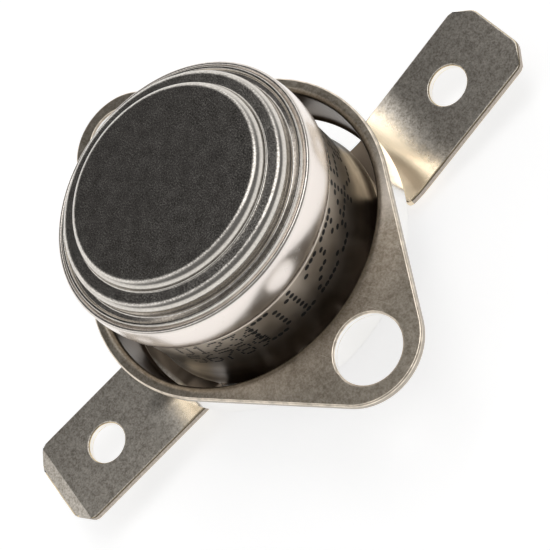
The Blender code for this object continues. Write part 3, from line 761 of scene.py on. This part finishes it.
def jet_ink():
    """Thin black ink-jet ink: matt beside the metal and slightly uneven."""
    made, tree, shader, place = start_material("black_jet_ink")
    clouds = add(tree, "TexNoise", {"Vector": place, "Scale": per(0.3), "Detail": 2, "Roughness": 0.55})
    both = add(tree, "Mix", {0: clouds, 6: colour("#141210"), 7: colour("#2a2622")}, 2, data_type="RGBA")
    feed(tree, shader, {
        "IOR": 1.5,
        "Base Color": both,
        "Roughness": add(tree, "MapRange", (clouds, 0.3, 0.7, 0.45, 0.6)),
    })
    return made


def pressed_ceramic():
    """Unglazed pressed ceramic: off-white, chalky, with fine pits."""
    made, tree, shader, place = start_material("unglazed_steatite")
    clouds = add(tree, "TexNoise", {"Vector": place, "Scale": per(0.9), "Detail": 4, "Roughness": 0.55})
    pits = add(tree, "TexNoise", {"Vector": place, "Scale": per(0.14), "Detail": 3, "Roughness": 0.6})
    both = add(tree, "Mix", {0: clouds, 6: colour("#d9d2c2"), 7: colour("#ece7da")}, 2, data_type="RGBA")
    feed(tree, shader, {
        "Base Color": both,
        "Roughness": add(tree, "MapRange", (pits, 0.3, 0.7, 0.55, 0.75)),
        "Normal": add(tree, "Bump", {"Height": pits, "Distance": 0.004 * MM}),
    })
    return made


def rolled_metal(name, dark, light, low, high):
    """Rolled or stamped strip with faint rolling streaks."""
    made, tree, shader, place = start_material(name)
    rolled = streaks(tree, place, 1.2, 0.2, 90.0, 3)
    both = add(tree, "Mix", {0: rolled, 6: colour(dark), 7: colour(light)}, 2, data_type="RGBA")
    feed(tree, shader, {
        "Metallic": 1.0,
        "Base Color": both,
        "Roughness": add(tree, "MapRange", (rolled, 0.3, 0.7, low, high)),
    })
    return made


def dress(thing, *finishes):
    """Give a piece or a CAD node its materials, the main one first."""
    slots = thing.data.materials
    for place, finish in enumerate(finishes):
        if place < len(slots):
            slots[place] = finish
        else:
            slots.append(finish)


# Studio

def studio_floor():
    """A white table top below the rivet heads, which keeps a soft shadow."""
    build = bmesh.new()
    below = Matrix.Translation((0, 0, CAD_BOX[0].z - 0.02 * MM))
    bmesh.ops.create_grid(build, x_segments=1, y_segments=1, size=1.5, matrix=below)
    floor = laid_out("table_top", build)
    made, tree, shader, _ = start_material("white_table_top")
    feed(tree, shader, {"Base Color": colour("#b6b6b6"), "Roughness": 0.9, "Specular IOR Level": 0.0})
    # The camera and the reflections see a floor that glows a little, which brings it to white.
    seen = add(tree, "Math", (
        add(tree, "LightPath", out="Is Camera Ray"), add(tree, "LightPath", out="Is Glossy Ray"),
    ), operation="MAXIMUM")
    glow = add(tree, "Emission", {"Color": (1, 1, 1, 1), "Strength": 0.73})
    lit = add(tree, "AddShader", (shader.outputs["BSDF"], glow))
    both = add(tree, "MixShader", (seen, shader.outputs["BSDF"], lit))
    feed(tree, tree.nodes["Material Output"], {"Surface": both})
    dress(floor, made)


def studio_walls():
    """A dark card high behind the switch in a lit ring, over bright low walls. The camera sees white."""
    world = bpy.data.worlds.new("studio")
    bpy.context.scene.world = world
    world.use_nodes = True
    tree = world.node_tree
    way = add(tree, "TexCoord", out="Generated")
    up = add(tree, "SeparateXYZ", (way,), "Z")
    azimuth, rise = math.radians(187), math.radians(43)
    middle = (math.cos(rise) * math.cos(azimuth), math.cos(rise) * math.sin(azimuth), math.sin(rise))
    cosine = add(tree, "VectorMath", (way, middle), "Value", operation="DOT_PRODUCT")
    angle = add(tree, "Math", (cosine,), operation="ARCCOSINE")
    off_card = add(tree, "MapRange", (angle, 0.0, math.radians(90), 0.0, 1.0))
    ring = (
        (0.0, 0.022), (0.14, 0.024), (0.19, 0.06), (0.24, 0.20), (0.30, 0.55), (0.36, 0.98),
        (0.46, 0.85), (0.56, 0.30), (0.70, 0.11), (1.0, 0.10),
    )
    low = ((0.0, 0.62), (0.24, 0.57), (0.38, 0.22), (0.52, 0.06), (1.0, 0.05))
    greys = []
    for value, shades in ((off_card, ring), (up, low)):
        grey = add(tree, "ValToRGB", (value,))
        stops = grey.node.color_ramp.elements
        stops[0].position, stops[1].position = shades[0][0], shades[-1][0]
        stops[0].color, stops[1].color = ((*[shade] * 3, 1) for shade in (shades[0][1], shades[-1][1]))
        for position, shade in shades[1:-1]:
            stops.new(position).color = (*[shade] * 3, 1)
        greys.append(grey)
    lit = add(tree, "Math", greys, operation="MAXIMUM")
    shown = add(tree, "Mix", {0: add(tree, "LightPath", out="Is Camera Ray"), 2: lit, 3: 1.0})
    feed(tree, tree.nodes["Background"], {"Color": shown, "Strength": 1.6})


def soft_box(name, place, size, power):
    """A square soft box that faces the switch."""
    data = bpy.data.lights.new(name, "AREA")
    data.shape = "SQUARE"
    data.size = size
    data.energy = power
    lamp = bpy.data.objects.new(name, data)
    lamp.location = place
    middle = Vector((0, 0, -8 * MM))
    lamp.rotation_euler = (middle - Vector(place)).to_track_quat("-Z", "Y").to_euler()
    bpy.context.scene.collection.objects.link(lamp)


def studio_camera():
    """The camera, close to the switch, fitted to how the photograph shows its round edges."""
    data = bpy.data.cameras.new("camera")
    data.sensor_width = 36.0
    data.lens = 91.64
    data.clip_start = 0.005
    camera = bpy.data.objects.new("camera", data)
    camera.location = (0.051092, 0.002142, 0.053033)
    camera.rotation_euler = [math.radians(a) for a in (24.9203, 29.5653, 46.1389)]
    bpy.context.scene.collection.objects.link(camera)
    bpy.context.scene.camera = camera


# Put together

cap = stepped_cap()
sleeve = sleeve_with_stakes()
figures = printed_figures()
flange = eared_flange()
tabs = terminals()
rivets = [rivet_head("rivet_head_a", 1, "rivet_a"), rivet_head("rivet_head_b", -1, "rivet_b")]

dress(cap, drawn_cap_metal())
dress(sleeve, sleeve_metal())
dress(figures, jet_ink())
# The flange's rounded rims get a warm, light colour, a painted highlight.
dress(flange, flange_metal(), flange_rear(), bare_edge("painted_highlight_steel_rim", "#fdf0de", 0.34))
tins = [
    tab_metal("tin_plated_brass_a", 1, fade=10.6, patch=-9.0, slant=0.25, shaded=8.35),
    tab_metal("tin_plated_brass_b", -1, fade=9.8, patch=0.4, slant=0.15, shaded=8.85),
]
edges = [
    burnished_edge(),
    sheared_wall(),
    # A painted highlight on the tabs' rims, and a painted shade line on the facet under them.
    bare_edge("painted_highlight_brass_rim", "#fbe6bd", 0.26),
    bare_edge("painted_shade_rim_line", "#2e251b", 0.50),
]
for tab, rivet, tin in zip(tabs, rivets, tins):
    dress(tab, tin, *edges)
    dress(rivet, tin)

nodes = frame["nodes"]
ceramic = pressed_ceramic()
brass = rolled_metal("stamped_brass", "#c49a55", "#dab673", 0.22, 0.38)
silver = rolled_metal("coined_silver", "#d8d6d2", "#efeeeb", 0.16, 0.30)
for finish, names in (
    (ceramic, ("ceramic_base", "pin_guide", "transfer_pin")),
    (rolled_metal("rolled_bimetal", "#8a8174", "#a0978a", 0.30, 0.45), ("bimetal_disc",)),
    (brass, ("fixed_bracket", "arm_bracket")),
    (rolled_metal("spring_bronze", "#b98052", "#d19b6b", 0.22, 0.36), ("contact_arm",)),
    (silver, ("fixed_contact", "moving_contact")),
    # The solids that finer pieces stand in for keep a finish too
    (tins[1], (
        "sensor_cap", "housing", "mounting_flange", "terminal_a", "terminal_b", "rivet_a", "rivet_b",
    )),
):
    for name in names:
        dress(nodes[name], finish)

studio_floor()
studio_walls()
soft_box("overhead_box", (-0.064, 0.176, 0.464), 0.24, 0.33)
studio_camera()
bpy.context.scene.view_settings.view_transform = "Standard"
